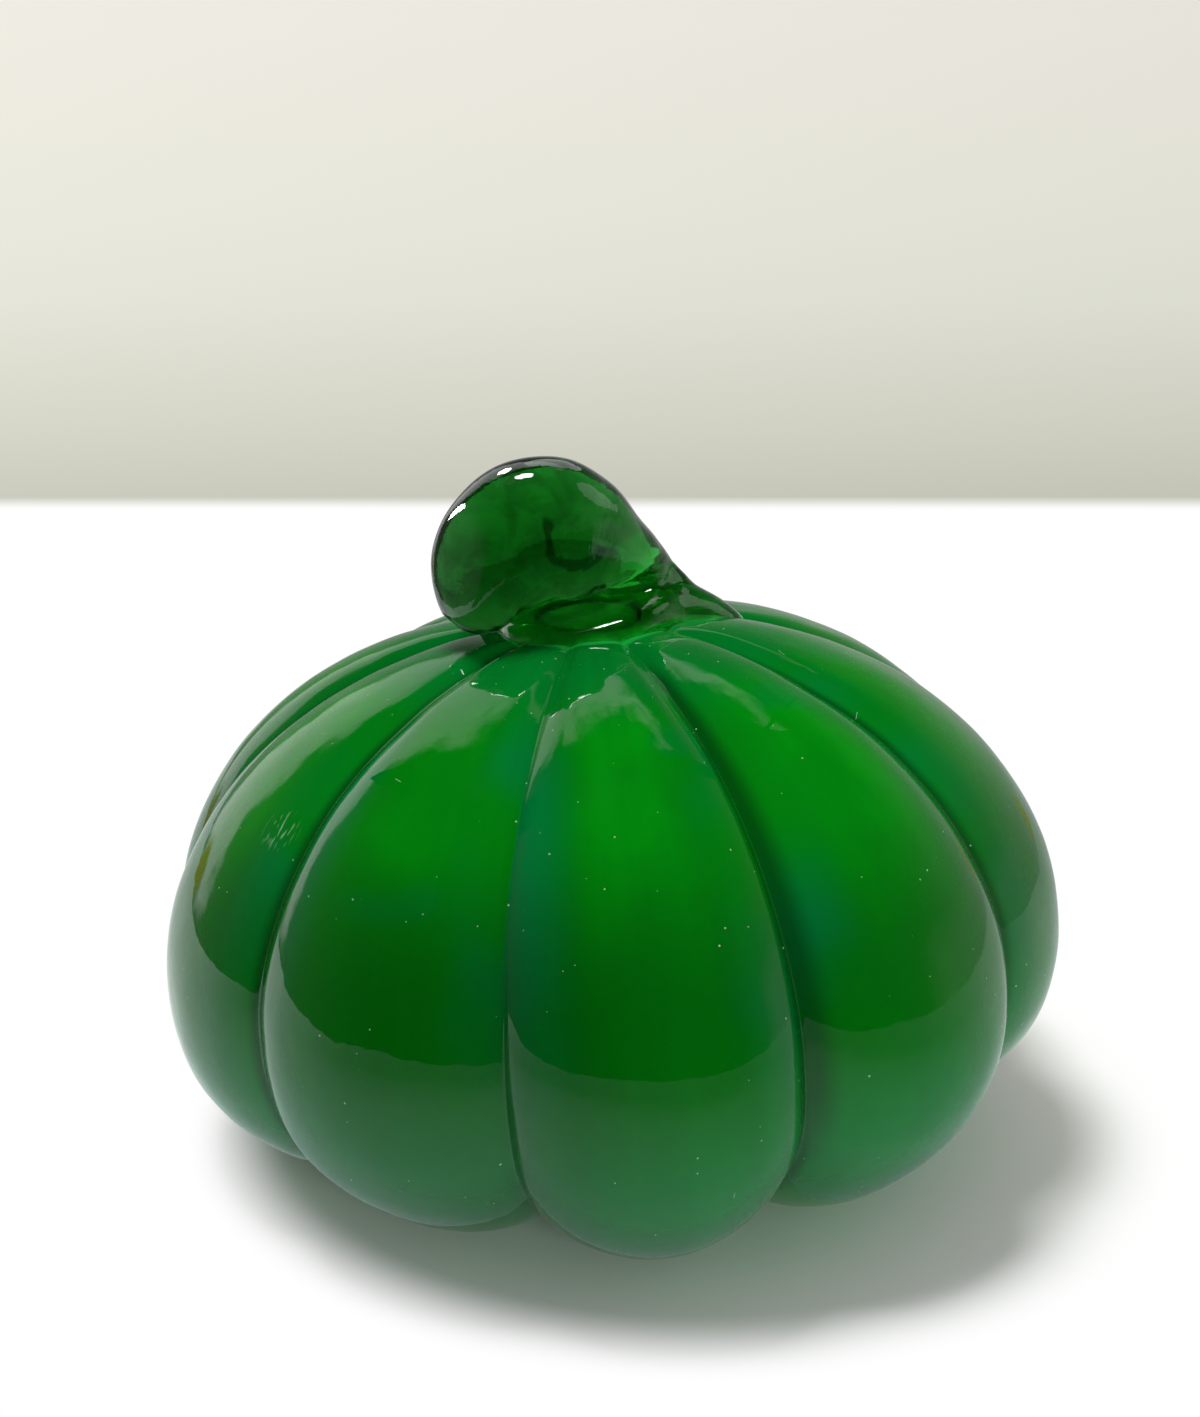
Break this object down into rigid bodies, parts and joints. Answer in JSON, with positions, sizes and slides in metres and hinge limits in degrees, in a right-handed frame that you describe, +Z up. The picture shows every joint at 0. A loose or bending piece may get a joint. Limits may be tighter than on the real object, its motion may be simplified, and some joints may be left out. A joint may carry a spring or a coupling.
{
  "type": "blown glass gourd",
  "caption": "Squat, lobed pumpkin-shaped ornament in cased green blown glass, closed by a solid curled glass stem.",
  "frame": {"origin": "on the surface that it stands on, under the middle of its width and depth", "axes": "+Z up; -Y towards the front, the side that shows the curl of the stem; +X to the right"},
  "size_m": [0.1198, 0.1216, 0.0913],
  "materials": {
    "green_cased_glass": "fire-polished, deep green, looks opaque over the opal",
    "opal_glass": "smooth, milky, opaque",
    "green_clear_glass": "fire-polished, transparent green"
  },
  "bodies": {
    "root": {"green_casing": "green_cased_glass", "opal_core": "opal_glass", "stem": "green_clear_glass"}
  },
  "joints": []
}
